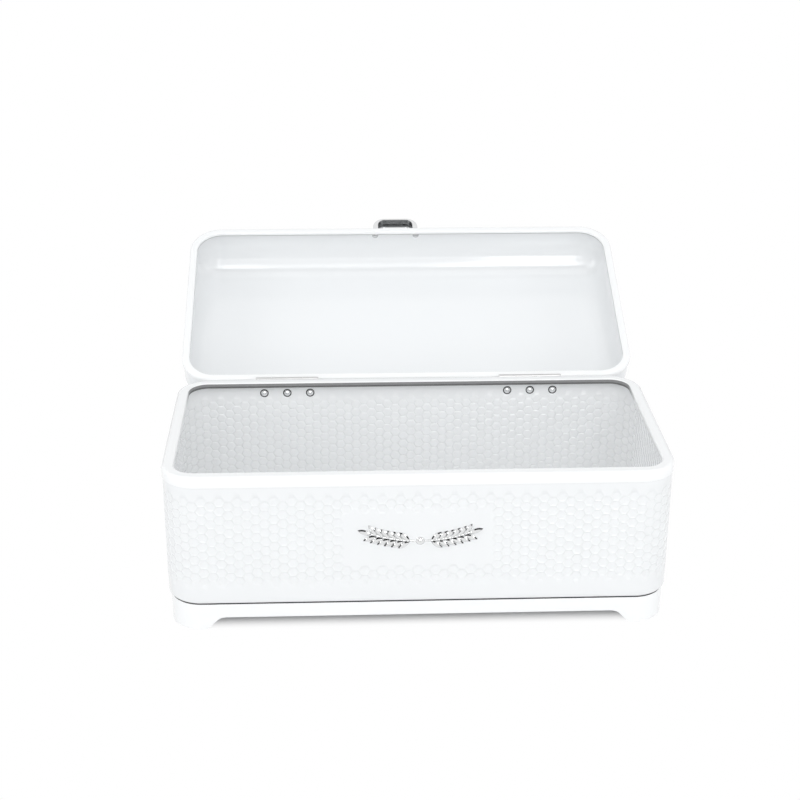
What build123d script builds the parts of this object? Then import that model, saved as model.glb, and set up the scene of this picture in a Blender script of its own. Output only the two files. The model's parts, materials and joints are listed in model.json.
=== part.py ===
import os
from math import asin, atan2, cos, degrees, hypot, radians, sin, sqrt

from build123d import *

# Steel bread box: a body with a folded rim on a moulded plinth with four feet, and a deep lid on
# two riveted hinges behind it. Millimetres, +Z up, the front towards -Y, origin on the table
# under the middle of the body. The lid is drawn closed, then swung back to its stop.

# Whole box
BODY_WIDTH = 420.0  # over the rims, left to right
BODY_DEPTH = 206.0  # over the rims, front to back
BODY_HEIGHT = 142.0  # table to the top of the body's rim
LID_HEIGHT = 47.7  # underside of the lid's rim to the middle of its top
CORNER_RADIUS = 30.0  # rims, seen from above
OPEN_ANGLE = 155.0  # from closed to the hinges' stop
LID_GAP = 0.3  # between the two rims when the lid is shut

# Sheet steel
WALL = 0.8  # body shell, base pan and lid shell
RIM_SHEET = 0.8  # both folded rims
SHELL_TOP_GAP = 0.3  # between a shell's edge and the bend of its rim

# Body rim: a folded channel over the top edge of the body shell
RIM_WIDTH = 10.5  # top face, outside to opening
RIM_BAND = 9.5  # outer band, top to lower edge
RIM_LIP = 4.2  # inner lip, top to lower edge
RIM_OPENING_RADIUS = 17.0
RIM_OUTER_EDGE = 3.5
RIM_INNER_EDGE = 1.5

# Lid rim: the same channel upside down, narrower
LID_RIM_WIDTH = 7.0
LID_RIM_BAND = 5.0
LID_RIM_LIP = 3.5
LID_OPENING_RADIUS = 24.0
LID_RIM_OUTER_EDGE = 1.8
LID_RIM_INNER_EDGE = 1.2

# Body shell and base pan
SHELL_BOTTOM = 25.0  # underside of the shell above the table
SHELL_BOTTOM_RADIUS = 4.0
SHELL_FLANGE = 8.0  # turned-in flange that carries the base pan
PAN_RIM = 12.0  # upturned edge of the base pan
PAN_EDGE_RADIUS = 4.2
PAN_CLEARANCE = 0.3  # between the pan's edge and the body shell

# Plinth
PLINTH_INSET = 2.8  # outer face inside the rims' outer face
PLINTH_WALL = 2.5
PLINTH_TOP_EDGE = 0.8
SEAM_GAP = 0.7  # height of the groove under the shell
SEAM_DEPTH = 1.5
LEDGE_WIDTH = 14.0
LEDGE_THICKNESS = 2.5
ARCH_HEIGHT = 12.0  # table to the underside of the arches
ARCH_SLOPE = 47.0  # of the foot's inner edge, from the table
ARCH_TOP_RADIUS = 12.0
FOOT_TOE_RADIUS = 5.0
FOOT_LENGTH = 31.0
FOOT_INNER_RADIUS = 8.0

# Foot pads and the screws between base pan and plinth
PAD_HEIGHT = 8.0
PAD_PROUD = 0.6  # below the foot's edge
PAD_CLEARANCE = 0.3
PAD_EDGE = 0.6
BOSS_RADIUS = 4.0
BOSS_INSET = 20.0  # from the plinth's outer faces
BOSS_WALL_AT_TIP = 3.0  # closed end of the screw hole
BASE_SCREW_RADIUS = 1.6
BASE_SCREW_LENGTH = 10.0
BASE_SCREW_HEAD_RADIUS = 3.6
BASE_SCREW_HEAD_HEIGHT = 1.9

# Lid shell
LID_EDGE_RADIUS = 28.0  # round edge of the pressed top

# Hinges
HINGE_SPACING = 224.0  # between the middles of the two hinges
HINGE_WIDTH = 56.5
HINGE_SHEET = 0.8
KNUCKLES = 4  # alternately on the body leaf and the lid leaf
KNUCKLE_RADIUS = 1.9
KNUCKLE_GAP = 0.3
PIN_RADIUS = 1.05
PIN_CLEARANCE = 0.05
PIN_HEAD_RADIUS = 1.7
PIN_HEAD_HEIGHT = 0.7
PIVOT_BELOW_RIM = 1.5  # hinge axis under the body rim's top
LEAF_LENGTH = 19.5  # hinge axis to the end of a leaf
LEAF_CORNER = 3.0
JOGGLE_GAP = 0.3  # between a rim's edge and the step in the leaf
STOP_REACH = 3.0  # stop tang on the lid knuckles, from the axis
STOP_THICKNESS = 1.0
STOP_CLEARANCE = 0.15

# Rivets of the hinges and screws of the handle
RIVET_PITCH = 21.0
RIVET_COUNT = 3
RIVET_DROP = 12.3  # hinge axis to the rivets' row
RIVET_RADIUS = 1.6
RIVET_HEAD_RADIUS = 3.3
RIVET_HEAD_HEIGHT = 1.8
RIVET_TAIL_RADIUS = 2.7
RIVET_TAIL_HEIGHT = 1.0
HOLE_CLEARANCE = 0.1
THREAD_CLEARANCE = 0.05

# Handle: a cup pull, open below, that the fingers lift
HANDLE_WIDTH = 45.8
HANDLE_FRONT_WIDTH = 43.8
HANDLE_MIDDLE = -5.0  # the pull sits this far from the middle of the lid
HANDLE_REACH = 20.0  # out of the lid's wall
HANDLE_HEIGHT = 12.5
HANDLE_ABOVE_RIM = 5.5  # lower edge above the lid rim's underside
HANDLE_CORNER = 11.0
HANDLE_TOP_EDGE = 4.0
HANDLE_WALL = 1.5
HANDLE_END = 5.0  # solid end round each screw
HANDLE_SCREW_SPACING = 41.0
HANDLE_SCREW_ABOVE_RIM = 9.4
HANDLE_SCREW_RADIUS = 1.4
HANDLE_SCREW_LENGTH = 8.0
HANDLE_SCREW_HEAD_RADIUS = 3.0
HANDLE_SCREW_HEAD_HEIGHT = 1.8

# Ornament: two ears of wheat, stem to stem, on the smooth patch of the front
ORNAMENT_BELOW_RIM = 56.0
KERNEL_LENGTH = 12.0
KERNEL_HALF_WIDTH = 2.1
KERNEL_HEIGHT = 1.8
KERNEL_BEVEL = 0.9
KERNEL_ANGLE = 38.0  # from the stem
KERNEL_PITCH = 5.5
KERNEL_PAIRS = 6
EAR_START = 8.5  # first pair of kernels, from the middle
STEM_RADIUS = 0.9
STEM_BEND = 120.0  # radius of the stem's curve
STEM_DIP = 4.0  # middle of the stem under the ornament's centre
KNOT_RADIUS = 3.8
KNOT_HEIGHT = 2.4

# Places that follow from the sizes
wall_width = BODY_WIDTH - 2 * RIM_SHEET
wall_depth = BODY_DEPTH - 2 * RIM_SHEET
wall_corner = CORNER_RADIUS - RIM_SHEET
rear_wall = wall_depth / 2
lid_bottom = BODY_HEIGHT + LID_GAP
plinth_width = BODY_WIDTH - 2 * PLINTH_INSET
plinth_depth = BODY_DEPTH - 2 * PLINTH_INSET
plinth_corner = CORNER_RADIUS - PLINTH_INSET
plinth_top = SHELL_BOTTOM - SEAM_GAP
ledge_bottom = SHELL_BOTTOM - LEDGE_THICKNESS
pan_bottom = SHELL_BOTTOM + WALL
boss_x = plinth_width / 2 - BOSS_INSET
boss_y = plinth_depth / 2 - BOSS_INSET
pivot_y = BODY_DEPTH / 2 + KNUCKLE_RADIUS
pivot_z = BODY_HEIGHT - PIVOT_BELOW_RIM
leaf_face = BODY_DEPTH / 2 - RIM_SHEET + HINGE_SHEET
hinge_axis = Axis((0, pivot_y, pivot_z), (1, 0, 0))
hinge_middles = {"left": -HINGE_SPACING / 2, "right": HINGE_SPACING / 2}
corners = [(sx, sy) for sy in (-1, 1) for sx in (-1, 1)]


def slab(width, depth, corner, bottom, top):
    # upright block with rounded corners
    return Pos(0, 0, bottom) * extrude(RectangleRounded(width, depth, corner), top - bottom)


def round_bottom(block, radius):
    return fillet(block.edges().group_by(Axis.Z)[0], radius)


def round_top(block, radius):
    return fillet(block.edges().group_by(Axis.Z)[-1], radius)


def bar(radius, x, z, y_from, y_to):
    # round bar along Y, for holes through the front or rear wall
    return Pos(x, (y_from + y_to) / 2, z) * Rot(90, 0, 0) * Cylinder(radius, abs(y_to - y_from))


def domed_fastener(head_radius, head_height, shank_radius, shank_length):
    # head above z = 0, shank below it
    ball = (head_radius**2 + head_height**2) / (2 * head_height)
    head = Pos(0, 0, head_height - ball) * Sphere(ball)
    head = head & Pos(0, 0, head_height / 2) * Box(3 * head_radius, 3 * head_radius, head_height)
    shank = Cylinder(shank_radius, shank_length, align=(Align.CENTER, Align.CENTER, Align.MAX))
    return head + shank


def inner_loop(ring, half_width):
    # top edges of a ring that lie inside the given half width
    top = ring.edges().group_by(Axis.Z)[-1]
    boxes = [(edge, edge.bounding_box()) for edge in top]
    return [edge for edge, box in boxes if max(box.max.X, -box.min.X) < half_width]


def rim_channel(face, band, lip, opening_corner, outer_edge, inner_edge):
    # folded channel with its face at z = 0, its band and its lip hanging down
    skin = round_top(slab(BODY_WIDTH, BODY_DEPTH, CORNER_RADIUS, -band, 0), outer_edge)
    skin -= slab(BODY_WIDTH - 2 * face, BODY_DEPTH - 2 * face, opening_corner, -band, 0)
    skin = fillet(inner_loop(skin, BODY_WIDTH / 2 - face + inner_edge), inner_edge)
    core_width = BODY_WIDTH - 2 * face + 2 * RIM_SHEET
    core_depth = BODY_DEPTH - 2 * face + 2 * RIM_SHEET
    core_corner = opening_corner + RIM_SHEET
    void = slab(wall_width, wall_depth, wall_corner, -band, -RIM_SHEET)
    void = round_top(void, outer_edge - RIM_SHEET)
    void -= slab(core_width, core_depth, core_corner, -band, -RIM_SHEET)
    below_lip = slab(core_width, core_depth, core_corner, -band, -lip)
    return skin - void - below_lip


def rivet_places(middle, above_axis):
    first = -(RIVET_COUNT - 1) / 2
    return [(middle + (first + i) * RIVET_PITCH, pivot_z + above_axis) for i in range(RIVET_COUNT)]


def rivet_holes(above_axis):
    radius = RIVET_RADIUS + HOLE_CLEARANCE
    places = [p for middle in hinge_middles.values() for p in rivet_places(middle, above_axis)]
    return [bar(radius, x, z, rear_wall - 2 * WALL, leaf_face + WALL) for x, z in places]


def body_rim():
    channel = rim_channel(
        RIM_WIDTH, RIM_BAND, RIM_LIP, RIM_OPENING_RADIUS, RIM_OUTER_EDGE, RIM_INNER_EDGE
    )
    return Pos(0, 0, BODY_HEIGHT) * channel


def body_shell():
    top = BODY_HEIGHT - RIM_OUTER_EDGE - SHELL_TOP_GAP
    skin = slab(wall_width, wall_depth, wall_corner, SHELL_BOTTOM, top)
    skin = round_bottom(skin, SHELL_BOTTOM_RADIUS)
    hollow = slab(wall_width - 2 * WALL, wall_depth - 2 * WALL, wall_corner - WALL, pan_bottom, top)
    hollow = round_bottom(hollow, SHELL_BOTTOM_RADIUS - WALL)
    turn = SHELL_BOTTOM_RADIUS + SHELL_FLANGE
    floor = slab(
        wall_width - 2 * turn, wall_depth - 2 * turn, wall_corner - turn, SHELL_BOTTOM, pan_bottom
    )
    return skin - hollow - floor - rivet_holes(-RIVET_DROP)


def base_pan():
    side = WALL + PAN_CLEARANCE
    top = pan_bottom + PAN_RIM
    tray = slab(wall_width - 2 * side, wall_depth - 2 * side, wall_corner - side, pan_bottom, top)
    tray = round_bottom(tray, PAN_EDGE_RADIUS)
    side += WALL
    hollow = slab(
        wall_width - 2 * side, wall_depth - 2 * side, wall_corner - side, pan_bottom + WALL, top
    )
    tray -= round_bottom(hollow, PAN_EDGE_RADIUS - WALL)
    hole = Cylinder(BASE_SCREW_RADIUS + HOLE_CLEARANCE, 4 * WALL)
    return tray - [Pos(sx * boss_x, sy * boss_y, pan_bottom) * hole for sx, sy in corners]


def base_screws():
    screw = domed_fastener(
        BASE_SCREW_HEAD_RADIUS, BASE_SCREW_HEAD_HEIGHT, BASE_SCREW_RADIUS, BASE_SCREW_LENGTH
    )
    seat = pan_bottom + WALL
    return Compound([Pos(sx * boss_x, sy * boss_y, seat) * screw for sx, sy in corners])


def arch_cut(length):
    # outline of the space under one side of the plinth, open at the table, with rounded shoulders
    foot_bottom = PAD_PROUD
    toe = length / 2 - FOOT_LENGTH
    run = (ARCH_HEIGHT - foot_bottom) / sin(radians(ARCH_SLOPE)) * cos(radians(ARCH_SLOPE))
    low = foot_bottom - ARCH_HEIGHT
    points = [
        (-length, low),
        (-length, foot_bottom),
        (-toe, foot_bottom),
        (-toe + run, ARCH_HEIGHT),
        (toe - run, ARCH_HEIGHT),
        (toe, foot_bottom),
        (length, foot_bottom),
        (length, low),
    ]
    outline = make_face(Polyline(*points, close=True))
    shoulders = outline.vertices().group_by(Axis.Y)[-1]
    outline = fillet(shoulders, ARCH_TOP_RADIUS)
    feet = outline.vertices().group_by(Axis.Y)[1]
    toes = feet.sort_by(Axis.X)[1:-1]
    return fillet(toes, FOOT_TOE_RADIUS)


def foot_block(inset, bottom, top):
    # the corner of the plinth that one foot takes up, drawn in by inset
    side = 2 * FOOT_LENGTH
    block = slab(side - 2 * inset, side - 2 * inset, FOOT_INNER_RADIUS - inset, bottom, top)
    return Pos(plinth_width / 2, plinth_depth / 2, 0) * block


def in_corners(block):
    left = mirror(block, about=Plane.YZ)
    return [block, left, mirror(block, about=Plane.XZ), Rot(0, 0, 180) * block]


def plinth_prism(inset, bottom, top):
    return slab(
        plinth_width - 2 * inset, plinth_depth - 2 * inset, plinth_corner - inset, bottom, top
    )


def plinth():
    wall = round_top(plinth_prism(0, PAD_PROUD, plinth_top), PLINTH_TOP_EDGE)
    wall -= plinth_prism(PLINTH_WALL, PAD_PROUD, plinth_top)
    wall -= extrude(Plane.XZ * arch_cut(plinth_width), plinth_depth, both=True)
    wall -= extrude(Plane.YZ * arch_cut(plinth_depth), plinth_width, both=True)
    ledge = plinth_prism(SEAM_DEPTH, ledge_bottom, SHELL_BOTTOM)
    ledge -= plinth_prism(LEDGE_WIDTH, ledge_bottom, SHELL_BOTTOM)
    foot = foot_block(0, PAD_PROUD, SHELL_BOTTOM) & plinth_prism(SEAM_DEPTH, PAD_PROUD, SHELL_BOTTOM)
    foot -= foot_block(PLINTH_WALL, PAD_PROUD, ledge_bottom) & plinth_prism(
        PLINTH_WALL, PAD_PROUD, ledge_bottom
    )
    boss = Cylinder(
        BOSS_RADIUS, pan_bottom - PAD_HEIGHT, align=(Align.CENTER, Align.CENTER, Align.MAX)
    )
    foot += Pos(boss_x, boss_y, pan_bottom) * boss
    hole = Cylinder(
        BASE_SCREW_RADIUS + THREAD_CLEARANCE,
        pan_bottom - PAD_HEIGHT - BOSS_WALL_AT_TIP,
        align=(Align.CENTER, Align.CENTER, Align.MAX),
    )
    foot -= Pos(boss_x, boss_y, pan_bottom) * hole
    return wall + ledge + in_corners(foot)


def foot_pads():
    inset = PLINTH_WALL + PAD_CLEARANCE
    pad = foot_block(inset, 0, PAD_HEIGHT) & plinth_prism(inset, 0, PAD_HEIGHT)
    pad = chamfer(pad.edges().group_by(Axis.Z)[0], PAD_EDGE)
    names = ["rear_right", "rear_left", "front_right", "front_left"]
    return {"foot_pad_" + name: p for name, p in zip(names, in_corners(pad))}


def lid_pressing(inset, bottom):
    # deep block with a soft upper edge, its skin drawn in by inset
    top = lid_bottom + LID_HEIGHT - inset
    block = slab(wall_width - 2 * inset, wall_depth - 2 * inset, wall_corner - inset, bottom, top)
    return round_top(block, LID_EDGE_RADIUS - inset)


def handle_screw_holes(radius, length):
    z = lid_bottom + HANDLE_SCREW_ABOVE_RIM
    y = -rear_wall + WALL
    half = HANDLE_SCREW_SPACING / 2
    places = [HANDLE_MIDDLE - half, HANDLE_MIDDLE + half]
    return [bar(radius, x, z, y + WALL, y - WALL - length) for x in places]


def lid_shell():
    bottom = lid_bottom + LID_RIM_OUTER_EDGE + SHELL_TOP_GAP
    skin = lid_pressing(0, bottom) - lid_pressing(WALL, bottom)
    skin -= rivet_holes(RIVET_DROP)
    return skin - handle_screw_holes(HANDLE_SCREW_RADIUS + HOLE_CLEARANCE, WALL)


def lid_rim():
    channel = rim_channel(
        LID_RIM_WIDTH,
        LID_RIM_BAND,
        LID_RIM_LIP,
        LID_OPENING_RADIUS,
        LID_RIM_OUTER_EDGE,
        LID_RIM_INNER_EDGE,
    )
    return Pos(0, 0, lid_bottom) * mirror(channel, about=Plane.XY)


def handle_outline(half_width, half_front, reach, corner):
    # plan of the cup, its back on y = 0 and its front towards -Y
    points = [(-half_width, 0), (-half_front, -reach), (half_front, -reach), (half_width, 0)]
    outline = make_face(Polyline(*points, close=True))
    return fillet(outline.vertices().group_by(Axis.Y)[0], corner)


def handle():
    outer = handle_outline(HANDLE_WIDTH / 2, HANDLE_FRONT_WIDTH / 2, HANDLE_REACH, HANDLE_CORNER)
    cup = extrude(outer, HANDLE_HEIGHT)
    top = cup.edges().group_by(Axis.Z)[-1].sort_by(Axis.Y)[:-1]
    cup = fillet(top, HANDLE_TOP_EDGE)
    taper = (HANDLE_WIDTH - HANDLE_FRONT_WIDTH) / 2
    half = HANDLE_WIDTH / 2 - HANDLE_END
    inner = handle_outline(
        half, half - taper, HANDLE_REACH - HANDLE_WALL, HANDLE_CORNER - HANDLE_WALL
    )
    hollow = extrude(inner, HANDLE_HEIGHT - HANDLE_WALL)
    inner_top = hollow.edges().group_by(Axis.Z)[-1].sort_by(Axis.Y)[:-1]
    cup -= fillet(inner_top, HANDLE_TOP_EDGE - HANDLE_WALL)
    cup = Pos(HANDLE_MIDDLE, -rear_wall, lid_bottom + HANDLE_ABOVE_RIM) * cup
    return cup - handle_screw_holes(HANDLE_SCREW_RADIUS + THREAD_CLEARANCE, HANDLE_SCREW_LENGTH)


def handle_screws():
    screw = domed_fastener(
        HANDLE_SCREW_HEAD_RADIUS, HANDLE_SCREW_HEAD_HEIGHT, HANDLE_SCREW_RADIUS, HANDLE_SCREW_LENGTH
    )
    z = lid_bottom + HANDLE_SCREW_ABOVE_RIM
    half = HANDLE_SCREW_SPACING / 2
    places = [HANDLE_MIDDLE - half, HANDLE_MIDDLE + half]
    return Compound([Pos(x, -rear_wall + WALL, z) * Rot(-90, 0, 0) * screw for x in places])


def rivets(middle, above_axis):
    rivet = domed_fastener(
        RIVET_HEAD_RADIUS, RIVET_HEAD_HEIGHT, RIVET_RADIUS, WALL + HINGE_SHEET + RIVET_TAIL_HEIGHT
    )
    tail = Cylinder(
        RIVET_TAIL_RADIUS, RIVET_TAIL_HEIGHT, align=(Align.CENTER, Align.CENTER, Align.MAX)
    )
    rivet += Pos(0, 0, -WALL - HINGE_SHEET) * tail
    seat = rear_wall - WALL
    places = rivet_places(middle, above_axis)
    return Compound([Pos(x, seat, z) * Rot(90, 0, 0) * rivet for x, z in places])


def leaf_plate(middle, band_edge, start):
    # flat leaf with its step, in the plane of the wall; heights are measured from the hinge axis
    front = -KNUCKLE_RADIUS
    step = RIM_SHEET
    turn = band_edge + JOGGLE_GAP
    points = [
        (front, start),
        (front, turn),
        (front - step, turn + step),
        (front - step, LEAF_LENGTH),
        (front - step + HINGE_SHEET, LEAF_LENGTH),
        (front - step + HINGE_SHEET, turn + step),
        (front + HINGE_SHEET, turn),
        (front + HINGE_SHEET, start),
    ]
    profile = make_face(Polyline(*points, close=True))
    plate = extrude(Plane.YZ * profile, HINGE_WIDTH / 2, both=True)
    ends = plate.edges().filter_by(Axis.Y).group_by(Axis.Z)[-1]
    return Pos(middle, 0, 0) * fillet(ends, LEAF_CORNER)


def hinge_leaf(middle, band_edge, first, above_axis, tang_angle=None):
    # leaf that rises from the axis; the body's one is turned to hang down
    clear = sqrt(KNUCKLE_RADIUS**2 - (KNUCKLE_RADIUS - HINGE_SHEET) ** 2) + KNUCKLE_GAP
    leaf = leaf_plate(middle, band_edge, clear)
    pitch = HINGE_WIDTH / KNUCKLES
    length = pitch - KNUCKLE_GAP
    neck_height = clear
    for i in range(first, KNUCKLES, 2):
        x = middle - HINGE_WIDTH / 2 + (i + 0.5) * pitch
        curl = Rot(0, 90, 0) * Cylinder(KNUCKLE_RADIUS, length)
        neck = Pos(0, -KNUCKLE_RADIUS + HINGE_SHEET / 2, neck_height / 2) * Box(
            length, HINGE_SHEET, neck_height
        )
        knuckle = curl + neck
        if tang_angle is not None:
            tang = Pos(0, STOP_REACH / 2, 0) * Box(length, STOP_REACH, STOP_THICKNESS)
            knuckle += Rot(tang_angle, 0, 0) * tang
        knuckle -= Rot(0, 90, 0) * Cylinder(PIN_RADIUS + PIN_CLEARANCE, length)
        leaf += Pos(x, 0, 0) * knuckle
    if above_axis < 0:
        leaf = mirror(leaf, about=Plane.XY)
    leaf = Pos(0, pivot_y, pivot_z) * leaf
    return leaf - rivet_holes(above_axis)


def body_leaf(middle):
    band_edge = RIM_BAND - PIVOT_BELOW_RIM
    return hinge_leaf(middle, band_edge, 0, -RIVET_DROP)


def lid_leaf(middle):
    band_edge = lid_bottom + LID_RIM_BAND - pivot_z
    reach = hypot(STOP_REACH, STOP_THICKNESS / 2)
    lean = asin((KNUCKLE_RADIUS - HINGE_SHEET - STOP_CLEARANCE) / reach)
    lean -= atan2(STOP_THICKNESS / 2, STOP_REACH)
    shut_angle = OPEN_ANGLE - 90 - degrees(lean)
    return hinge_leaf(middle, band_edge, 1, RIVET_DROP, shut_angle)


def hinge_pin(middle):
    length = HINGE_WIDTH - KNUCKLE_GAP
    pin = Cylinder(PIN_RADIUS, length)
    head = Cylinder(PIN_HEAD_RADIUS, PIN_HEAD_HEIGHT)
    offset = (length + PIN_HEAD_HEIGHT) / 2
    pin += [Pos(0, 0, side * offset) * head for side in (-1, 1)]
    return Pos(middle, pivot_y, pivot_z) * Rot(0, 90, 0) * pin


def kernel():
    # lens outline from the origin along +X, with a bevelled upper edge
    tip = (KERNEL_LENGTH, 0)
    sides = [
        ThreePointArc((0, 0), (KERNEL_LENGTH / 2, side * KERNEL_HALF_WIDTH), tip) for side in (-1, 1)
    ]
    seed = extrude(make_face(sides), KERNEL_HEIGHT)
    return chamfer(seed.edges().group_by(Axis.Z)[-1], KERNEL_BEVEL)


def ornament():
    # ears in the plane z = 0: kernels in pairs along a stem that bends up towards each end
    one = kernel()
    pieces = []
    for side in (-1, 1):
        for i in range(KERNEL_PAIRS):
            turn = (EAR_START + i * KERNEL_PITCH) / STEM_BEND
            for angle in (KERNEL_ANGLE, -KERNEL_ANGLE):
                pieces.append((side, turn, angle))
        pieces.append((side, (EAR_START + KERNEL_PAIRS * KERNEL_PITCH - STEM_RADIUS) / STEM_BEND, 0))
    sprig = Pos(0, -STEM_DIP, 0) * domed_fastener(KNOT_RADIUS, KNOT_HEIGHT, STEM_RADIUS, STEM_RADIUS)
    sprig = split(sprig, bisect_by=Plane.XY, keep=Keep.TOP)
    bend = Axis((0, STEM_BEND - STEM_DIP, 0), (0, 0, 1))
    section = Plane.YZ * Pos(-STEM_DIP, 0) * Circle(STEM_RADIUS)
    sweep_angle = degrees((EAR_START + KERNEL_PAIRS * KERNEL_PITCH) / STEM_BEND)
    stem = revolve(section, bend, sweep_angle)
    stem = split(stem, bisect_by=Plane.XY, keep=Keep.TOP)
    sprig += stem + mirror(stem, about=Plane.YZ)
    for side, turn, angle in pieces:
        seed = Rot(0, 0, degrees(turn) + angle) * one
        seed = Pos(STEM_BEND * sin(turn), STEM_BEND * (1 - cos(turn)) - STEM_DIP, 0) * seed
        sprig += seed if side > 0 else mirror(seed, about=Plane.YZ)
    face = Plane(
        origin=(0, -rear_wall, BODY_HEIGHT - ORNAMENT_BELOW_RIM), x_dir=(1, 0, 0), z_dir=(0, -1, 0)
    )
    return face * sprig


def swung_open(shape):
    return shape.rotate(hinge_axis, -OPEN_ANGLE)


fixed = {
    "body_shell": body_shell(),
    "body_rim": body_rim(),
    "base_pan": base_pan(),
    "base_screws": base_screws(),
    "plinth": plinth(),
    "ornament": ornament(),
    **foot_pads(),
}
moving = {
    "lid_shell": lid_shell(),
    "lid_rim": lid_rim(),
    "handle": handle(),
    "handle_screws": handle_screws(),
}
for side, middle in hinge_middles.items():
    fixed["hinge_body_leaf_" + side] = body_leaf(middle)
    fixed["hinge_pin_" + side] = hinge_pin(middle)
    fixed["body_rivets_" + side] = rivets(middle, -RIVET_DROP)
    moving["hinge_lid_leaf_" + side] = lid_leaf(middle)
    moving["lid_rivets_" + side] = rivets(middle, RIVET_DROP)

parts = {**fixed, **{name: swung_open(shape) for name, shape in moving.items()}}

os.makedirs("parts", exist_ok=True)
for name, shape in parts.items():
    export_step(shape, "parts/" + name + ".step")
    print(name, len(shape.solids()), "solids", round(shape.volume), "mm3")
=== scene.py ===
import json
import math
import time
import bmesh
import bpy
import numpy as np
from mathutils import Matrix, Vector


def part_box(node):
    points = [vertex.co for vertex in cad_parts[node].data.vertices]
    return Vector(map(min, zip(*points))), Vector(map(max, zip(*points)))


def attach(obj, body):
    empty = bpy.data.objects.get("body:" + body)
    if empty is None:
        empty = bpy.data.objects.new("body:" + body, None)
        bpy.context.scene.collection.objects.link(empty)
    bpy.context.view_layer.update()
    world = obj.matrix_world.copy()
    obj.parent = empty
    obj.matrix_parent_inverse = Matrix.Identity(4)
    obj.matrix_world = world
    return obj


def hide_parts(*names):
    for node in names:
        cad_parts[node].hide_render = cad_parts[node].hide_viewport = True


# White steel bread box with its lid tipped back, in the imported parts' own frame, in metres
startTime = time.time()
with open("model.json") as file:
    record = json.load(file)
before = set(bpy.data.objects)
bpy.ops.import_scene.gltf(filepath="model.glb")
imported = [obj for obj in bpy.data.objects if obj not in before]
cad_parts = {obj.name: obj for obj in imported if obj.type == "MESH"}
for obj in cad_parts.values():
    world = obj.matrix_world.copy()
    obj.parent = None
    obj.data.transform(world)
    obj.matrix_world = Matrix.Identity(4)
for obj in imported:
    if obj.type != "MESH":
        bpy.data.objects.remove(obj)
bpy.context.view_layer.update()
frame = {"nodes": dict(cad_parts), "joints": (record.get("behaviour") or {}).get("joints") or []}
scene = bpy.context.scene
mm = 0.001
weld = 0.001 * mm


def report(stage):
    print("%6.1f s  %s" % (time.time() - startTime, stage))


report("frame loaded")

# Places taken from the frame
hinge = frame["joints"][0]
hingePoint = np.array(hinge["pos_m"])
openAngle = math.radians(hinge["range_deg"][1])
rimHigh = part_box("body_rim")[1]
shellLow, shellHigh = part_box("body_shell")
panLow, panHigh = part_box("base_pan")
wallX, wallY = shellHigh.x, shellHigh.y


def swungOpen(points):
    # turns points of the shut lid about the hinge line, by the angle at which it stands open
    y, z = points[..., 1] - hingePoint[1], points[..., 2] - hingePoint[2]
    c, s = math.cos(openAngle), math.sin(openAngle)
    turned = points.copy()
    turned[..., 1] = hingePoint[1] + c * y + s * z
    turned[..., 2] = hingePoint[2] - s * y + c * z
    return turned


# Surfaces on grids
def gridFaces(rows, columns, wrapRows=False, wrapColumns=False):
    # quads between neighbouring points of a grid, row by row
    i, j = np.meshgrid(
        np.arange(rows if wrapRows else rows - 1),
        np.arange(columns if wrapColumns else columns - 1),
        indexing="ij",
    )
    i2, j2 = (i + 1) % rows, (j + 1) % columns
    corners = [i * columns + j, i * columns + j2, i2 * columns + j2, i2 * columns + j]
    return np.stack(corners, -1).reshape(-1, 4)


def signedVolume(points, faces):
    # sum over the faces' fans of the tetrahedra that they make with the origin, each a sixth of
    # the triple product of its three corners
    total = 0.0
    for k in range(1, faces.shape[1] - 1):
        a, b, c = points[faces[:, 0]], points[faces[:, k]], points[faces[:, k + 1]]
        total += np.einsum("ij,ij->i", a, np.cross(b, c)).sum() / 6
    return total


def newPiece(name, points, faces, material, body, replaced=(), sharp=35):
    # closed mesh with outward faces; points that fall together are merged, and edges that turn
    # by more than the sharp angle stay crisp
    points = points.reshape(-1, 3)
    if signedVolume(points, faces) < 0:
        faces = faces[:, ::-1]
    mesh = bpy.data.meshes.new(name)
    mesh.from_pydata(points.tolist(), [], faces.tolist())
    work = bmesh.new()
    work.from_mesh(mesh)
    bmesh.ops.remove_doubles(work, verts=work.verts, dist=weld)
    work.to_mesh(mesh)
    work.free()
    mesh.shade_smooth()
    mesh.set_sharp_from_angle(angle=math.radians(sharp))
    mesh.materials.append(material)
    piece = bpy.data.objects.new(name, mesh)
    scene.collection.objects.link(piece)
    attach(piece, body)
    if replaced:
        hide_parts(*replaced)
    return piece


def roundedLoops(halfWidth, halfDepth, radius, z, cornerSteps=20, sideSteps=12):
    # one closed loop for each row: quarter circles of the row's radius about its four corner
    # centres, joined by straight sides whose points are shared out evenly
    angle = np.linspace(0, math.pi / 2, cornerSteps + 1)
    share = np.linspace(0, 1, sideSteps + 1)[1:-1]
    arcs = []
    for k, (sx, sy) in enumerate([(1, -1), (1, 1), (-1, 1), (-1, -1)]):
        turn = angle + (k - 1) * math.pi / 2
        x = (sx * (halfWidth - radius))[:, None] + radius[:, None] * np.cos(turn)
        y = (sy * (halfDepth - radius))[:, None] + radius[:, None] * np.sin(turn)
        arcs.append(np.stack([x, y], -1))
    parts = []
    for k in range(4):
        start, end = arcs[k][:, -1:], arcs[(k + 1) % 4][:, :1]
        parts += [arcs[k], start + (end - start) * share[None, :, None]]
    flat = np.concatenate(parts, 1)
    height = np.broadcast_to(z[:, None, None], flat.shape[:2] + (1,))
    return np.concatenate([flat, height], -1)


def arcPoints(centre, radius, fromDegrees, toDegrees, steps):
    # centre plus radius times the cosine and sine of evenly spaced angles
    turn = np.radians(np.linspace(fromDegrees, toDegrees, steps + 1))
    return np.stack([centre[0] + radius * np.cos(turn), centre[1] + radius * np.sin(turn)], -1)


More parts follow.
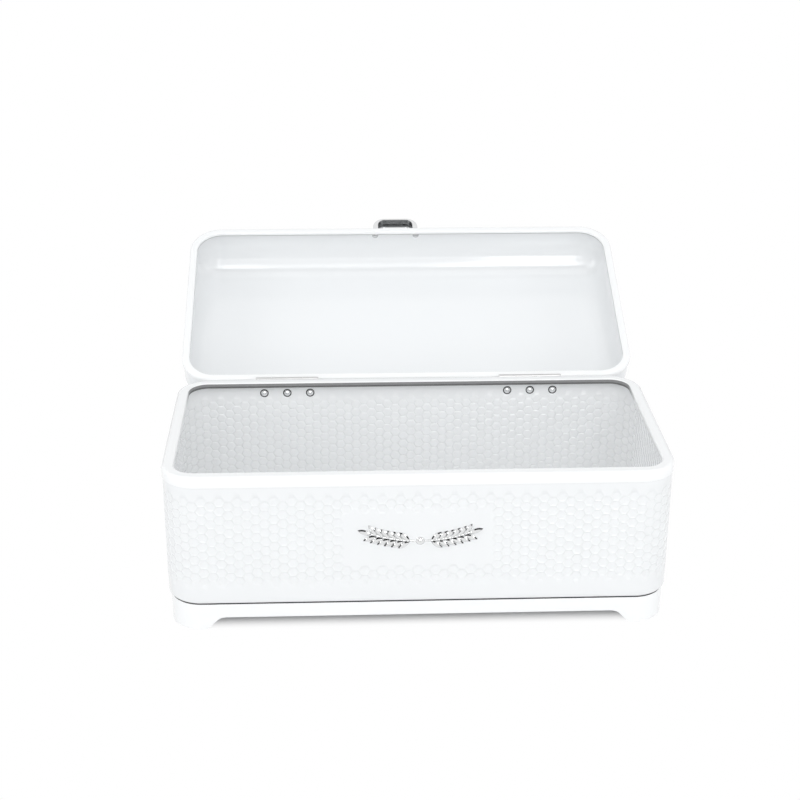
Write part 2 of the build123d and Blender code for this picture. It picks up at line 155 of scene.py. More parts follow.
# Shader maths: a socket that takes part in Python expressions
class Signal:
    def __init__(self, shader, socket):
        self.shader = shader
        self.socket = socket

    def combine(self, operation, *inputs):
        return self.shader.add("ShaderNodeMath", {"operation": operation}, *inputs)

    def __add__(self, other):
        return self.combine("ADD", self, other)

    def __sub__(self, other):
        return self.combine("SUBTRACT", self, other)

    def __mul__(self, other):
        return self.combine("MULTIPLY", self, other)

    def __rsub__(self, other):
        return self.combine("SUBTRACT", other, self)

    __radd__ = __add__
    __rmul__ = __mul__


def pick(sockets, key):
    # a socket by its name, or by its place among those that the node's settings leave in use
    if isinstance(key, str):
        return sockets[key]
    return [socket for socket in sockets if socket.enabled][key]


class Shader:
    def __init__(self, owner, surface, output):
        owner.use_nodes = True
        self.owner = owner
        self.tree = owner.node_tree
        self.surface = self.tree.nodes[surface]
        self.output = self.tree.nodes[output]
        self.shading = Signal(self, self.surface.outputs[0])

    def add(self, kind, settings=None, *inputs, output=0, **named):
        # any node: its settings first, then its sockets in order or by name
        node = self.tree.nodes.new(kind)
        for key, value in (settings or {}).items():
            setattr(node, key, value)
        wanted = list(enumerate(inputs))
        wanted += [(key.replace("_", " "), value) for key, value in named.items()]
        for key, value in wanted:
            self.feed(pick(node.inputs, key), value)
        return Signal(self, pick(node.outputs, output))

    def feed(self, socket, value):
        if isinstance(value, Signal):
            self.tree.links.new(value.socket, socket)
        elif value is not None:
            socket.default_value = value

    def wear(self, **sockets):
        # values and links of the shader that the tree starts with
        for key, value in sockets.items():
            self.feed(self.surface.inputs[key.replace("_", " ")], value)
        return self.owner

    def show(self, signal):
        self.feed(self.output.inputs["Surface"], signal)

    def inView(self):
        # 1 for a ray from the camera or from a reflection, 0 for all other light
        camera = self.add("ShaderNodeLightPath", output="Is Camera Ray")
        return camera + self.add("ShaderNodeLightPath", output="Is Glossy Ray")


class Finish(Shader):
    def __init__(self, name):
        super().__init__(bpy.data.materials.new(name), "Principled BSDF", "Material Output")
        self.place = self.add("ShaderNodeTexCoord", output="Object")

    def noise(self, scale, detail, stretch=(1, 1, 1)):
        place = self.add("ShaderNodeMapping", None, Vector=self.place, Scale=stretch)
        return self.add("ShaderNodeTexNoise", None, Vector=place, Scale=scale, Detail=detail)

    def between(self, factor, low, high):
        # colour from low to high as the factor goes from 0 to 1
        return self.add("ShaderNodeMix", {"data_type": "RGBA"}, factor, low, high)

    def shades(self, factor, look):
        # colour from the look's dark grey to its light grey
        dark, light = (grey(look[key], look["blue"]) for key in ("dark", "light"))
        return self.between(factor, dark, light)

    def bump(self, height, distance, normal=None):
        return self.add("ShaderNodeBump", None, Distance=distance, Height=height, Normal=normal)


def grey(value, blue=0.0):
    # opaque grey with a tint: red is the value less the tint, green the value less 0.4 of it
    return (value - blue, value - 0.4 * blue, value, 1)


def around(level, noise, spread):
    # level plus spread times what the noise has over its mean of a half
    return level + (noise - 0.5) * spread


def enamel(name, look):
    # stoved enamel on steel: faint cloudiness, a slow swell in the sheet and a fine orange peel
    f = Finish(name)
    cloud = f.noise(look["cloudScale"], detail=4)
    swell = f.noise(look["swellScale"], detail=2)
    peel = f.noise(look["peelScale"], detail=2)
    speck = f.noise(look["speckScale"], detail=1)
    rough = around(around(look["roughness"], cloud, look["roughSpread"]), speck, look["speckSpread"])
    slow = f.bump(swell, look["swell"])
    return f.wear(
        Base_Color=f.shades(cloud, look), Roughness=rough, Normal=f.bump(peel, look["peel"], slow),
        Coat_Weight=look["coat"], Coat_Roughness=look["coatRoughness"],
    )


def chrome(name, look):
    # bright plating: a trace of polishing haze along one direction and thin smudges
    f = Finish(name)
    haze = f.noise(look["hazeScale"], detail=3, stretch=look["stretch"])
    smudge = f.noise(look["smudgeScale"], detail=2)
    rough = look["roughness"] + haze * look["hazeSpread"] + smudge * look["smudgeSpread"]
    return f.wear(
        Base_Color=f.shades(smudge, look), Metallic=1.0, Roughness=rough,
        Normal=f.bump(haze, look["ripple"]),
    )


def brushedSteel(name, look):
    # rolled strip: long fine scratches across the leaf
    f = Finish(name)
    grain = f.noise(look["grainScale"], detail=4, stretch=look["stretch"])
    return f.wear(
        Base_Color=f.shades(grain, look), Metallic=1.0,
        Roughness=around(look["roughness"], grain, look["roughSpread"]),
        Normal=f.bump(grain, look["groove"]),
    )


def mouldedPlastic(name, look):
    # glossy moulding: soft sink marks, a fine grain and slightly uneven gloss
    f = Finish(name)
    sink = f.noise(look["sinkScale"], detail=2)
    grain = f.noise(look["grainScale"], detail=3)
    return f.wear(
        Base_Color=f.shades(sink, look), Coat_Weight=look["coat"],
        Roughness=around(look["roughness"], grain, look["roughSpread"]),
        Normal=f.bump(grain, look["grain"], f.bump(sink, look["sink"])),
    )


def sheetEdge(name, look):
    # painted shade along the rims' lips: colour that stays white towards the front and turns dark grey
    # towards the rear, standing in for the shadow and dark reflections there
    f = Finish(name)
    grain = f.noise(look["grainScale"], detail=3)
    depth = f.add("ShaderNodeSeparateXYZ", None, f.place, output="Y")
    rearShade = f.add("ShaderNodeMapRange", None, depth, look["rearFrom"], look["rearTo"])
    colour = f.between(rearShade * around(1, grain, look["mottle"]), grey(look["white"]), grey(look["steel"]))
    return f.wear(
        Base_Color=colour, Roughness=around(look["roughness"], grain, look["roughSpread"]),
        Normal=f.bump(grain, look["grain"]),
    )


def rubber(name, look):
    # matt black with a pebbled skin, darker in its hollows and lighter on its tops
    f = Finish(name)
    pebble = f.noise(look["pebbleScale"], detail=4)
    return f.wear(
        Base_Color=f.shades(pebble, look),
        Roughness=around(look["roughness"], pebble, look["roughSpread"]),
        Normal=f.bump(pebble, look["pebble"]),
    )


enamelLook = {
    "light": 0.885, "dark": 0.86, "blue": 0.012, "cloudScale": 9, "swellScale": 7, "swell": 0.25 * mm,
    "peelScale": 420, "peel": 0.006 * mm, "speckScale": 966, "speckSpread": 0.02,
    "roughness": 0.16, "roughSpread": 0.05, "coat": 0.5, "coatRoughness": 0.04,
}
bodyFinish = enamel("bodyEnamel", enamelLook)
# painted light: the tub's inside, the rims and the lid wear lighter copies of the body's enamel, which
# make up for light that these places miss
insideFinish = enamel("insideEnamel", {**enamelLook, "light": 0.95, "dark": 0.93})
rimFinish = enamel("rimEnamel", {
    **enamelLook, "light": 0.96, "dark": 0.945, "blue": 0.004, "roughness": 0.13,
})
lidFinish = enamel("lidEnamel", {
    **enamelLook, "light": 0.93, "dark": 0.915, "blue": 0.02, "swell": 0.5 * mm, "roughness": 0.12,
})
plinthFinish = mouldedPlastic("plinthPlastic", {
    "light": 0.96, "dark": 0.945, "blue": 0.004, "sinkScale": 14, "sink": 0.06 * mm,
    "grainScale": 600, "grain": 0.004 * mm, "roughness": 0.2, "roughSpread": 0.06, "coat": 0.4,
})
platedLook = {
    "light": 0.82, "dark": 0.74, "blue": 0.01, "hazeScale": 900, "stretch": (0.3, 1, 1),
    "smudgeScale": 60, "roughness": 0.03, "hazeSpread": 0.05, "smudgeSpread": 0.05,
    "ripple": 0.002 * mm,
}
chromeFinish = chrome("chromeTrim", platedLook)
# painted reflection: darker plating for the inside of the pull's hollow
hollowShadeFinish = chrome("cupLining", {
    **platedLook, "light": 0.62, "dark": 0.52, "hazeScale": 700, "smudgeScale": 90,
    "roughness": 0.05, "ripple": 0.003 * mm,
})
fastenerLook = {
    **platedLook, "light": 0.9, "dark": 0.8, "hazeScale": 1400, "smudgeScale": 150,
    "roughness": 0.06, "ripple": 0.004 * mm,
}
fastenerFinish = chrome("brightFasteners", fastenerLook)
# painted shade: the pull's screws wear a darker copy of the fasteners' plating, so that their heads read
# darker, as in shade
screwFinish = chrome("pullScrews", {**fastenerLook, "light": 0.66, "dark": 0.5, "roughness": 0.03})
hingeFinish = brushedSteel("hingeSteel", {
    "light": 0.66, "dark": 0.52, "blue": 0, "grainScale": 1800, "stretch": (0.04, 1, 1),
    "roughness": 0.3, "roughSpread": 0.16, "groove": 0.006 * mm,
})
padFinish = rubber("padRubber", {
    "light": 0.045, "dark": 0.018, "blue": 0, "pebbleScale": 1500, "pebble": 0.05 * mm,
    "roughness": 0.72, "roughSpread": 0.15,
})
# painted shade: the greys of the dark strips along the rims' lips
shadeBandLook = {
    "steel": 0.12, "white": 0.9, "mottle": 0.2, "rearFrom": 45 * mm, "rearTo": 80 * mm,
    "grainScale": 700, "grain": 0.01 * mm, "roughness": 0.35, "roughSpread": 0.1,
}
hemShadeFinish = sheetEdge("sheetEdge", shadeBandLook)
creaseShadeFinish = sheetEdge("lipFace", {**shadeBandLook, "steel": 0.26})
lidHemShadeFinish = sheetEdge("lipEdge", {**shadeBandLook, "steel": 0.5, "white": 0.6})
report("finishes made")

# Body shell: sheet with hexagon dimples, whole cells only, and a smooth patch behind the ornament.
# The columns of cells start beside the middle of the front; cut is the steps along a cell's side
body = {
    "sheet": 0.8 * mm, "corner": 29.2 * mm, "bottomRadius": 4 * mm, "flange": 8 * mm,
    "columns": 164, "columnAt": 12.75 * mm, "row": 8.1 * mm, "zoneBottom": 43 * mm, "cells": (10, 9),
    "depth": 0.55 * mm, "sharpness": 8, "ringWarp": 0.15, "cut": 4, "bendSteps": 5, "plainSteps": 3,
    "patchFrom": (-64 * mm, 57 * mm), "patchTo": (60 * mm, 110 * mm), "sharp": 60, "tie": 1e-9,
}


def wallPath(length):
    # the wall's outline: the centre of turning walks round an inner rectangle while the outward
    # direction turns at its corners; the length runs from the middle of the front to the right
    a = wallX - body["corner"]
    b = wallY - body["corner"]
    q = body["corner"] * math.pi / 2
    knots = np.cumsum([0, a, q, 2 * b, q, 2 * a, q, 2 * b, q, a])
    length = np.mod(length, knots[-1])
    x = np.interp(length, knots, [0, a, a, a, a, -a, -a, -a, -a, 0])
    y = np.interp(length, knots, [-b, -b, -b, b, b, b, b, -b, -b, -b])
    turn = np.radians(np.interp(length, knots, [-90, -90, 0, 0, 90, 90, 180, 180, 270, 270]))
    return x, y, turn, knots[-1]


def hexagonSide(total):
    # columns of hexagons stand one and a half sides apart
    return total / body["columns"] / 1.5


def dimples(length, z, total):
    # every point belongs to the nearest cell centre of two interleaved lattices; its hexagonal
    # distance from there, 1 on the cell's edge, gives the depth: depth * (1 - distance ** sharpness)
    pitch, side, row = total / body["columns"], hexagonSide(total), body["row"]
    best = np.full(length.shape, np.inf)
    centre = np.zeros(length.shape + (2,))
    for shift, cells in enumerate(body["cells"]):
        first = body["columnAt"] + shift * pitch
        cx = first + np.round((length - first) / (2 * pitch)) * 2 * pitch
        base = body["zoneBottom"] + row / 2 * (1 + shift)
        cz = base + np.clip(np.round((z - base) / row), 0, cells - 1) * row
        across, along = np.abs(length - cx) / side, np.abs(z - cz) / (row / 2)
        distance = np.maximum(along, 0.5 * along + across)
        nearer = distance < best - body["tie"]
        best = np.where(nearer, distance, best)
        centre[..., 0] = np.where(nearer, cx, centre[..., 0])
        centre[..., 1] = np.where(nearer, cz, centre[..., 1])
    middle = np.stack([np.mod(centre[..., 0] + total / 2, total) - total / 2, centre[..., 1]], -1)
    inPatch = ((middle > body["patchFrom"]) & (middle < body["patchTo"])).all(-1)
    inside = (best < 1) & ~inPatch
    # rings of points inside a cell are drawn out towards its edge, for a crisp ridge
    warped = best + body["ringWarp"] * np.sin(math.pi * np.clip(best, 0, 1))
    grow = np.where(inside & (best > body["tie"]), warped / np.maximum(best, body["tie"]), 1)
    length = centre[..., 0] + (length - centre[..., 0]) * grow
    z = centre[..., 1] + (z - centre[..., 1]) * grow
    height = np.where(inside, -body["depth"] * (1 - warped ** body["sharpness"]), 0)
    return length, z, height


def latticeFaces(rows, columns, rowParity):
    # two triangles for each cell of the grid, cut along the shorter diagonal of shifted rows
    i, j = np.meshgrid(np.arange(rows - 1), np.arange(columns - 1), indexing="ij")
    a, b = i * columns + j, i * columns + j + 1
    d, c = a + columns, b + columns
    odd = np.broadcast_to(rowParity[:-1, None] == 1, a.shape)[..., None]
    first = np.where(odd, np.stack([a, b, c], -1), np.stack([a, b, d], -1))
    second = np.where(odd, np.stack([a, c, d], -1), np.stack([b, c, d], -1))
    return np.concatenate([first.reshape(-1, 3), second.reshape(-1, 3)])


def wallProfile():
    # offset out of the wall's plane and height of each row, the direction that its outer skin
    # faces there, and where the embossed rows start and end: flange, bend, plain wall, emboss, wall
    r, bottom = body["bottomRadius"], shellLow.z
    zoneRows = 2 * body["cells"][0] * body["cut"]
    zoneZ = body["zoneBottom"] + np.arange(zoneRows + 1) * (body["row"] / 2 / body["cut"])
    flange = np.array([[-r - body["flange"], bottom], [-r - body["flange"] / 2, bottom]])
    bend = arcPoints((-r, bottom + r), r, -90, 0, body["bendSteps"])
    lowWall = np.linspace(bottom + r, zoneZ[0], body["plainSteps"] + 1)[1:-1]
    highWall = np.linspace(zoneZ[-1], shellHigh.z, body["plainSteps"] + 1)[1:]
    wallZ = np.concatenate([lowWall, zoneZ, highWall])
    profile = np.concatenate([flange, bend, np.stack([0 * wallZ, wallZ], -1)])
    outward = np.concatenate([
        np.tile([0.0, -1.0], (len(flange), 1)), arcPoints((0, 0), 1, -90, 0, body["bendSteps"]),
        np.tile([1.0, 0.0], (len(wallZ), 1)),
    ])
    zoneStart = len(flange) + len(bend) + len(lowWall)
    return profile, outward, slice(zoneStart, zoneStart + zoneRows + 1)


def embossedPiece(name, fromColumn, toColumn):
    # outer and inner skin of a stretch of the wall, the inner one sheet thickness further in, and
    # a strip of triangles that closes the border between them
    total = wallPath(np.zeros(1))[3]
    profile, outward, zone = wallProfile()
    parity = np.zeros(len(profile), int)
    parity[zone] = np.arange(zone.stop - zone.start) % 2
    step = hexagonSide(total) / body["cut"]
    length = (np.arange(fromColumn, toColumn + 1) + parity[:, None] / 2) * step + body["columnAt"]
    z = np.broadcast_to(profile[:, 1:], length.shape).copy()
    height = np.zeros(length.shape)
    length[zone], z[zone], height[zone] = dimples(length[zone], z[zone], total)
    x, y, turn, _ = wallPath(length)
    skins = []
    for depth in (0, body["sheet"]):
        out = body["corner"] + profile[:, :1] + height - depth * outward[:, :1]
        skin = [x + out * np.cos(turn), y + out * np.sin(turn), z - depth * outward[:, 1:]]
        skins.append(np.stack(skin, -1).reshape(-1, 3))
    rows, columns = length.shape
    count = rows * columns
    skinFaces = latticeFaces(rows, columns, parity)
    grid = np.arange(count).reshape(rows, columns)
    border = np.concatenate([grid[0, :], grid[1:, -1], grid[-1, -2::-1], grid[-2:0:-1, 0]])
    following = np.roll(border, -1)
    faces = np.concatenate([
        skinFaces,
        skinFaces[:, ::-1] + count,
        np.stack([border, border + count, following + count], -1),
        np.stack([border, following + count, following], -1),
    ])
    piece = newPiece(
        name, np.concatenate(skins), faces, bodyFinish, "box", ["body_shell"],
        sharp=body["sharp"],
    )
    # less light reaches the inner skin, so its enamel is the brighter one
    piece.data.materials.append(insideFinish)
    inner = np.zeros(len(faces), int)
    inner[len(skinFaces):2 * len(skinFaces)] = 1
    piece.data.polygons.foreach_set("material_index", inner)
    report("%s has %d triangles" % (name, len(faces)))


halfRound = body["columns"] * 3 // 2 * body["cut"] // 2
embossedPiece("bodyShellRight", 0, halfRound)
embossedPiece("bodyShellLeft", halfRound, 2 * halfRound)

# Folded rims: one closed profile each, carried round the box; the lid's stands upside down on
# the gap over the tub's
bodyRim = {
    "width": 10.5 * mm, "band": 9.5 * mm, "lip": 4.2 * mm, "sheet": 0.8 * mm, "outerEdge": 3.5 * mm,
    "innerEdge": 1.5 * mm, "corner": 30 * mm, "opening": 17 * mm, "hem": 0.3 * mm,
}
lidRim = {
    "width": 7 * mm, "band": 5 * mm, "lip": 3.5 * mm, "sheet": 0.8 * mm, "outerEdge": 1.8 * mm,
    "innerEdge": 1.2 * mm, "corner": 30 * mm, "opening": 24 * mm, "hem": 0.3 * mm, "gap": 0.3 * mm,
}
rimSteps = {"hem": 3, "outer": 8, "outerInside": 6, "inner": 6, "innerInside": 3, "face": 4}


def channelLoops(rim):
    # profile of the folded channel with its face at height 0, outside first: x is the offset from
    # the outer face, y the height; the corner radius follows the offset between the two families
    w, t, a, b, e = rim["width"], rim["sheet"], rim["outerEdge"], rim["innerEdge"], rim["hem"]
    hem = rimSteps["hem"]
    face = np.linspace(-a, -w + b, rimSteps["face"] + 1)[1:-1]
    profile = np.concatenate([
        arcPoints((-e, -rim["band"] + e), e, -90, 0, hem),
        arcPoints((-a, -a), a, 0, 90, rimSteps["outer"]),
        np.stack([face, 0 * face], -1),
        arcPoints((-w + b, -b), b, 90, 180, rimSteps["inner"]),
        arcPoints((-w + e, -rim["lip"] + e), e, 180, 270, hem),
        arcPoints((-w + t - e, -rim["lip"] + e), e, 270, 360, hem),
        arcPoints((-w + b, -b), b - t, 180, 90, rimSteps["innerInside"]),
        arcPoints((-a, -a), a - t, 90, 0, rimSteps["outerInside"]),
        arcPoints((-t + e, -rim["band"] + e), e, 180, 270, hem),
    ])
    offset = profile[:, 0]
    knots = [-w, -w + b, -a, 0]
    radii = [rim["opening"], rim["opening"] + b, rim["corner"] - a, rim["corner"]]
    radius = np.interp(offset, knots, radii)
    return roundedLoops(rimHigh.x + offset, rimHigh.y + offset, radius, profile[:, 1])


def ringPiece(name, loops, material, rides, slot, *replaced):
    # rows of loops whose last row meets the first; the lid's are swung open
    faces = gridFaces(*loops.shape[:2], wrapRows=True, wrapColumns=True)
    points = swungOpen(loops) if rides == "lid" else loops
    newPiece(name, points, faces, material, rides, replaced)


lidBottom = rimHigh.z + lidRim["gap"]
rimLoops = channelLoops(bodyRim)
rimLoops[..., 2] += rimHigh.z
ringPiece("bodyRim", rimLoops, rimFinish, "box", "rim_enamel", "body_rim")
lidLoops = channelLoops(lidRim)
lidLoops[..., 2] = lidBottom - lidLoops[..., 2]
ringPiece("lidRim", lidLoops, rimFinish, "lid", "rim_enamel", "lid_rim")


def thinRing(name, halves, corner, across, z, material, slot, rides="box"):
    # square strip carried round a rounded rectangle of these half sides: across and z are where
    # its cross-section starts and ends
    offset = np.array([across[0], across[1], across[1], across[0]])
    height = np.array([z[0], z[0], z[1], z[1]])
    loops = roundedLoops(halves[0] + offset, halves[1] + offset, corner + offset, height)
    ringPiece(name, loops, material, rides, slot)


# Painted shade: dark strips on the cut edge and crease of the tub rim's lip and on the cut edge of the
# lid rim's lip, standing in for the shadow and dark reflections along them
edging = {
    "hem": (-0.6 * mm, 0.9 * mm), "crease": (-3.4 * mm, -0.8 * mm), "proud": 0.04 * mm,
    "lidHem": 0.9 * mm,
}
lipAcross = (-edging["proud"], bodyRim["sheet"] + edging["proud"])
tubLip = (rimHigh.x - bodyRim["width"], rimHigh.y - bodyRim["width"])
tubLipEnd = rimHigh.z - bodyRim["lip"]
lidLip = (rimHigh.x - lidRim["width"], rimHigh.y - lidRim["width"])
lidLipEnd = lidBottom + lidRim["lip"]
thinRing(
    "bodyRimHemShade", tubLip, bodyRim["opening"], lipAcross,
    (tubLipEnd + edging["hem"][0], tubLipEnd + edging["hem"][1]), hemShadeFinish, "rim_enamel",
)
thinRing(
    "bodyRimCreaseShade", tubLip, bodyRim["opening"], (-edging["proud"], bodyRim["sheet"] / 2),
    (rimHigh.z + edging["crease"][0], rimHigh.z + edging["crease"][1]), creaseShadeFinish, "rim_enamel",
)
thinRing(
    "lidRimHemShade", lidLip, lidRim["opening"], lipAcross,
    (lidLipEnd - edging["lidHem"], lidLipEnd + edging["proud"]), lidHemShadeFinish, "rim_enamel", "lid",
)

# Painted shade: a dark rubber strip in the groove between the tub and the plinth, standing in for the
# shadow in the gap
grooveShade = {"inset": 2.8 * mm, "face": 0.25 * mm, "depth": 1.3 * mm, "corner": 27.2 * mm, "groove": 0.7 * mm}
thinRing(
    "baseGrooveShade", (rimHigh.x - grooveShade["inset"], rimHigh.y - grooveShade["inset"]), grooveShade["corner"],
    (-grooveShade["depth"], -grooveShade["face"]), (shellLow.z - grooveShade["groove"], shellLow.z), padFinish, "pad_rubber",
)
report("rims made")

# Pressings: loops that climb a wall, turn over a round edge and close in on a line in the middle
lid = {"sheet": 0.8 * mm, "corner": 29.2 * mm, "edge": 28 * mm, "height": 47.7 * mm, "wallFrom": 2.1 * mm}
pan = {"sheet": 0.8 * mm, "gap": 0.3 * mm, "edge": 4.2 * mm}
pressSteps = {"wall": 5, "bend": 12, "flat": 8}


def pressingLoops(halfWidth, halfDepth, corner, edge, wallEnd, floor, inset):
    # heights run from the wall's open end to the floor; inset is the distance inside the outer
    # skin. The bend is a quarter circle of the edge's radius less the inset, and the corners'
    # radius shrinks with the offset until the floor's loops have none
    up = 1 if floor > wallEnd else -1
    r = edge - inset
    turn = np.radians(np.linspace(0, 90, pressSteps["bend"] + 1))
    wall = np.linspace(wallEnd, floor - up * edge, pressSteps["wall"] + 1)[:-1]
    offset = np.concatenate([0 * wall, r * (np.cos(turn) - 1)]) - inset
    z = np.concatenate([wall, floor - up * (edge - r * np.sin(turn))])
    flatShare = np.linspace(0, 1, pressSteps["flat"] + 1)[1:]
    left = halfDepth + offset[-1]
    offset = np.concatenate([offset, offset[-1] - left * flatShare])
    z = np.concatenate([z, np.full(len(flatShare), z[-1])])
    radius = np.maximum(np.clip(corner + offset, 0, halfDepth + offset), 0)
    return roundedLoops(halfWidth + offset, halfDepth + offset, radius, z)


def pressing(name, outside, inside, material, rides, slot, replaced):
    # from the middle of the outer skin down to its open end, and up the inner skin again
    rows, columns = outside.shape[:2]
    points = np.concatenate([outside[::-1], inside])
    faces = gridFaces(2 * rows, columns, wrapColumns=True)
    newPiece(name, points, faces, material, rides, [replaced])


lidSkins = [
    swungOpen(pressingLoops(
        wallX, wallY, lid["corner"], lid["edge"], lidBottom + lid["wallFrom"],
        lidBottom + lid["height"], inset,
    ))
    for inset in (0, lid["sheet"])
]
pressing("lidShell", *lidSkins, lidFinish, "lid", "lid_enamel", "lid_shell")
panSide = body["sheet"] + pan["gap"]
panSkins = [
    pressingLoops(
        wallX - panSide, wallY - panSide, body["corner"] - panSide, pan["edge"], panHigh.z, panLow.z,
        inset,
    )
    for inset in (0, pan["sheet"])
]
# the pan wears the lightened inside enamel: painted light
pressing("basePan", *panSkins, insideFinish, "box", "body_enamel", "base_pan")
report("pressings made")

# Cup pull: bright outside, and inside it a darker sheet, painted dark reflection; its back lies on the
# lid's wall, its sides draw in
cup = {
    "middle": -5 * mm, "aboveRim": 5.5 * mm, "halfWidth": 22.9 * mm, "reach": 20 * mm,
    "height": 12.5 * mm, "corner": 11 * mm, "edge": 4 * mm, "end": 5 * mm, "wall": 1.5 * mm,
    "drawIn": 1 * mm, "lining": 0.25 * mm, "hollowCorner": 7 * mm, "hollowEdge": 6 * mm,
}


def cupLoops(halfWidth, reach, corner, edge, height):
    # half of a pressing cut by the lid's wall, in the lid's place; its width shrinks in
    # proportion to the distance from the wall
    loops = pressingLoops(halfWidth, reach, corner, edge, 0.0, height, 0.0)
    loops[..., 1] = np.minimum(loops[..., 1], 0)
    loops[..., 0] *= 1 + loops[..., 1] / cup["reach"] * cup["drawIn"] / cup["halfWidth"]
    return swungOpen(loops + [cup["middle"], -wallY, lidBottom + cup["aboveRim"]])


# The cup's hollow, and the two skins of the darker sheet in it that paints the hollow's dark reflection,
# of which the first lies inside the cup's wall
hollow = [
    cupLoops(
        cup["halfWidth"] - cup["end"] - inset, cup["reach"] - cup["wall"] - inset,
        cup["hollowCorner"] - inset, cup["hollowEdge"] - inset, cup["height"] - cup["wall"] - inset,
    )
    for inset in (0, -cup["lining"] / 2, cup["lining"])
]
cupSkin = cupLoops(cup["halfWidth"], cup["reach"], cup["corner"], cup["edge"], cup["height"])
pressing("handleCup", cupSkin, hollow[0], chromeFinish, "lid", "chrome_trim", "handle")
pressing("handleHollowShade", hollow[1], hollow[2], hollowShadeFinish, "lid", "chrome_trim", "handle")
report("pull made")

# Painted reflection: dark rings under the heads of the rivets inside the tub's rear wall, standing in for
# the dark rim that each domed head reflects
rivetShade = {
    "inner": 2.4 * mm, "outer": 3.9 * mm, "thickness": 0.35 * mm, "round": 0.12 * mm,
    "drop": 12.3 * mm, "hinges": (-112 * mm, 112 * mm), "spacing": (-21 * mm, 0, 21 * mm),
    "segments": 32,
}


def shadeRings(name, middles, wall, height):
    # a section of radii and heights off the wall, turned about axes along y: x and z are the
    # middle plus the radius times cosine and sine, and y is the wall less the height off it
    e = rivetShade["round"]
    section = np.array([
        (rivetShade["inner"], 0), (rivetShade["outer"], 0), (rivetShade["outer"], rivetShade["thickness"] - e),
        (rivetShade["outer"] - e, rivetShade["thickness"]), (rivetShade["inner"], rivetShade["thickness"]),
    ])
    turn = np.linspace(0, 2 * math.pi, rivetShade["segments"] + 1)[:-1]
    points = np.zeros((len(middles), len(section), len(turn), 3))
    points[..., 0] = middles[:, None, None] + section[:, :1] * np.cos(turn)
    points[..., 1] = wall - section[:, 1:]
    points[..., 2] = height + section[:, :1] * np.sin(turn)
    ring = gridFaces(len(section), len(turn), wrapRows=True, wrapColumns=True)
    count = len(section) * len(turn)
    faces = np.concatenate([ring + k * count for k in range(len(middles))])
    newPiece(name, points, faces, padFinish, "box")


rivetMiddles = np.add.outer(rivetShade["hinges"], rivetShade["spacing"]).ravel()
shadeRings("rivetShadeRings", rivetMiddles, wallY - body["sheet"], hingePoint[2] - rivetShade["drop"])
report("washers made")

# Carried-over nodes get their finishes, by the start of their names
nodeFinish = {
    "plinth": plinthFinish, "ornament": chromeFinish, "foot_pad": padFinish, "hinge": hingeFinish,
    "handle_screws": screwFinish, "base_screws": fastenerFinish, "body_rivets": fastenerFinish,
    "lid_rivets": fastenerFinish,
}
for start, material in nodeFinish.items():
    for name, node in frame["nodes"].items():
        if name.startswith(start):
            for slotOfNode in node.material_slots:
                slotOfNode.material = material
report("nodes finished")

# Floor: it takes the object's shadow under the box and close to it, and is plain white further out
white = (1, 1, 1, 1)
floor = {
    "size": 12.0, "shadowHalfWidth": 0.185, "shadowHalfDepth": 0.078, "shadowFade": 0.022,
    "fill": 0.05, "colour": (0.84, 0.845, 0.85, 1), "roughness": 0.6, "specular": 0.2,
}


def flatSheet(name, width, depth, material):
    # rectangle about the origin that isn't part of the object
    corners = np.array([(-1, -1, 0), (1, -1, 0), (1, 1, 0), (-1, 1, 0)])
    mesh = bpy.data.meshes.new(name)
    mesh.from_pydata((corners * [width / 2, depth / 2, 0]).tolist(), [], [(0, 1, 2, 3)])
    mesh.materials.append(material)
    sheet = bpy.data.objects.new(name, mesh)
    scene.collection.objects.link(sheet)
    return sheet


pale = Finish("paleFloor")
pale.wear(
    Base_Color=floor["colour"], Roughness=floor["roughness"], Specular_IOR_Level=floor["specular"],
)
plainWhite = pale.add("ShaderNodeEmission", None, white, 1.0)
faint = pale.add("ShaderNodeEmission", None, white, floor["fill"])
lit = pale.add("ShaderNodeAddShader", None, pale.shading, faint)
# distance outside a rectangle: the length of what each coordinate has beyond its half side
core = (floor["shadowHalfWidth"], floor["shadowHalfDepth"], 0)
away = pale.add("ShaderNodeVectorMath", {"operation": "ABSOLUTE"}, pale.place)
away = pale.add("ShaderNodeVectorMath", {"operation": "SUBTRACT"}, away, core)
away = pale.add("ShaderNodeVectorMath", {"operation": "MAXIMUM"}, away, (0, 0, 0))
away = pale.add("ShaderNodeVectorMath", {"operation": "LENGTH"}, away)
fade = pale.add("ShaderNodeMapRange", {"interpolation_type": "SMOOTHSTEP"}, away, 0, floor["shadowFade"])
backdrop = pale.add("ShaderNodeMixShader", None, fade, lit, plainWhite)
pale.show(pale.add("ShaderNodeMixShader", None, pale.inView(), pale.shading, backdrop))
flatSheet("floor", floor["size"], floor["size"], pale.owner)

# World: soft even light, and white where the camera or a reflection looks past the floor
sky = {"colour": (0.965, 0.985, 1.0, 1), "strength": 0.65}
scene.world = bpy.data.worlds.new("studio")
air = Shader(scene.world, "Background", "World Output")
air.wear(Color=sky["colour"], Strength=sky["strength"])
beyond = air.add("ShaderNodeBackground", None, white, 1.0)
air.show(air.add("ShaderNodeMixShader", None, air.inView(), air.shading, beyond))

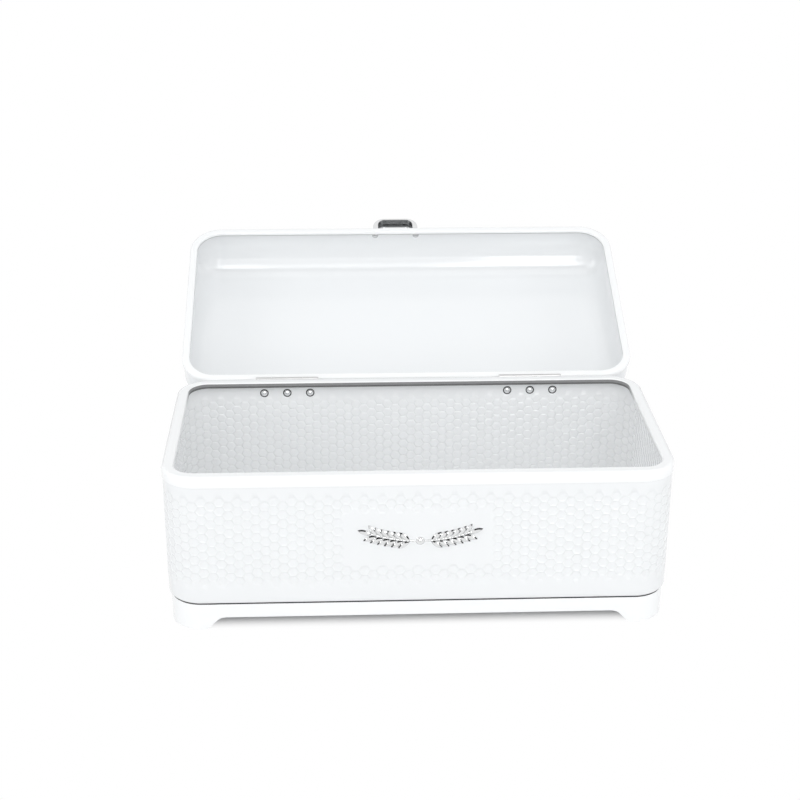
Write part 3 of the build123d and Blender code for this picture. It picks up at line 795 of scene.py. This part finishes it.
# Lamps and dark cards: the cards are seen only in reflections and give the bright metal its streaks
lamps = {
    "rightWindow": {"at": (0.42, -1.7, 1.2), "aim": (0.1, 0.1, 0.1), "size": (0.36, 2.3), "watts": 7},
    "leftWindow": {"at": (-0.36, -1.7, 1.2), "aim": (-0.1, 0.1, 0.1), "size": (0.14, 2.3), "watts": 3.5},
    "frontFill": {"at": (0.0, -2.1, 1.8), "aim": (0, 0.0, 0.15), "size": (2.6, 0.8), "watts": 7.5},
    "frontLow": {"at": (0.0, -2.4, 0.35), "aim": (0, 0.0, 0.15), "size": (2.6, 0.5), "watts": 2.8},
    "overhead": {"at": (0.0, 0.3, 2.3), "aim": (0, 0.15, 0.1), "size": (2.2, 1.0), "watts": 3.5},
    "leftSide": {"at": (-1.9, -0.5, 1.0), "aim": (0, 0.1, 0.1), "size": (1.0, 1.0), "watts": 6.5},
    "rightSide": {"at": (1.9, -0.5, 1.0), "aim": (0, 0.1, 0.1), "size": (1.0, 1.0), "watts": 4},
}
cards = {
    "lowCard": {"at": (0.0, -1.2, 0.1), "aim": (0, 0, 0.1), "size": (2.6, 0.16)},
    "highCard": {"at": (0.0, -0.75, 1.5), "aim": (0, 0, 0.1), "size": (1.8, 0.45)},
    "leftCard": {"at": (-1.2, -0.5, 0.45), "aim": (0, 0, 0.1), "size": (0.25, 0.9)},
    "rightCard": {"at": (1.2, -0.4, 0.45), "aim": (0, 0, 0.1), "size": (0.25, 0.9)},
    "rearLowCard": {"at": (0.0, 1.5, 0.25), "aim": (0, 0.2, 0.2), "size": (2.6, 0.2)},
    "rearHighCard": {"at": (0.0, 1.3, 1.3), "aim": (0, 0.2, 0.2), "size": (2.0, 0.3)},
}
cardLook = {"grey": 0.01, "roughness": 0.9, "specular": 0.0}


def facing(at, aim):
    # placement whose own downward axis points from its place to the aim
    direction = Vector(aim) - Vector(at)
    return Matrix.Translation(at) @ direction.to_track_quat("-Z", "Y").to_matrix().to_4x4()


for name, lamp in lamps.items():
    data = bpy.data.lights.new(name, "AREA")
    data.shape = "RECTANGLE"
    data.size, data.size_y = lamp["size"]
    data.energy = lamp["watts"]
    light = bpy.data.objects.new(name, data)
    light.matrix_world = facing(lamp["at"], lamp["aim"])
    scene.collection.objects.link(light)

dark = Finish("darkCard")
dark.wear(
    Base_Color=grey(cardLook["grey"]), Roughness=cardLook["roughness"],
    Specular_IOR_Level=cardLook["specular"],
)
for name, card in cards.items():
    sheet = flatSheet(name, *card["size"], dark.owner)
    sheet.data.transform(facing(card["at"], card["aim"]))
    sheet.visible_camera = sheet.visible_diffuse = sheet.visible_shadow = False
    sheet.visible_transmission = False

# Camera fitted to the box's corners and lid
view = {
    "at": (-0.0662, -1.2272, 0.6907), "forward": (0.04008, 0.91799, -0.39458),
    "right": (0.99912, -0.0419, 0.00401), "focalPixels": 1565, "imagePixels": 800, "sensor": 36.0,
}
cameraData = bpy.data.cameras.new("photoCamera")
cameraData.sensor_width = view["sensor"]
cameraData.lens = view["focalPixels"] / view["imagePixels"] * view["sensor"]
camera = bpy.data.objects.new("photoCamera", cameraData)
scene.collection.objects.link(camera)
forward = Vector(view["forward"]).normalized()
right = Vector(view["right"])
right = (right - forward * right.dot(forward)).normalized()
axes = Matrix((right, right.cross(forward), -forward)).transposed().to_4x4()
camera.matrix_world = Matrix.Translation(view["at"]) @ axes
scene.camera = camera
scene.view_settings.view_transform = "Standard"
report("stage and camera set")
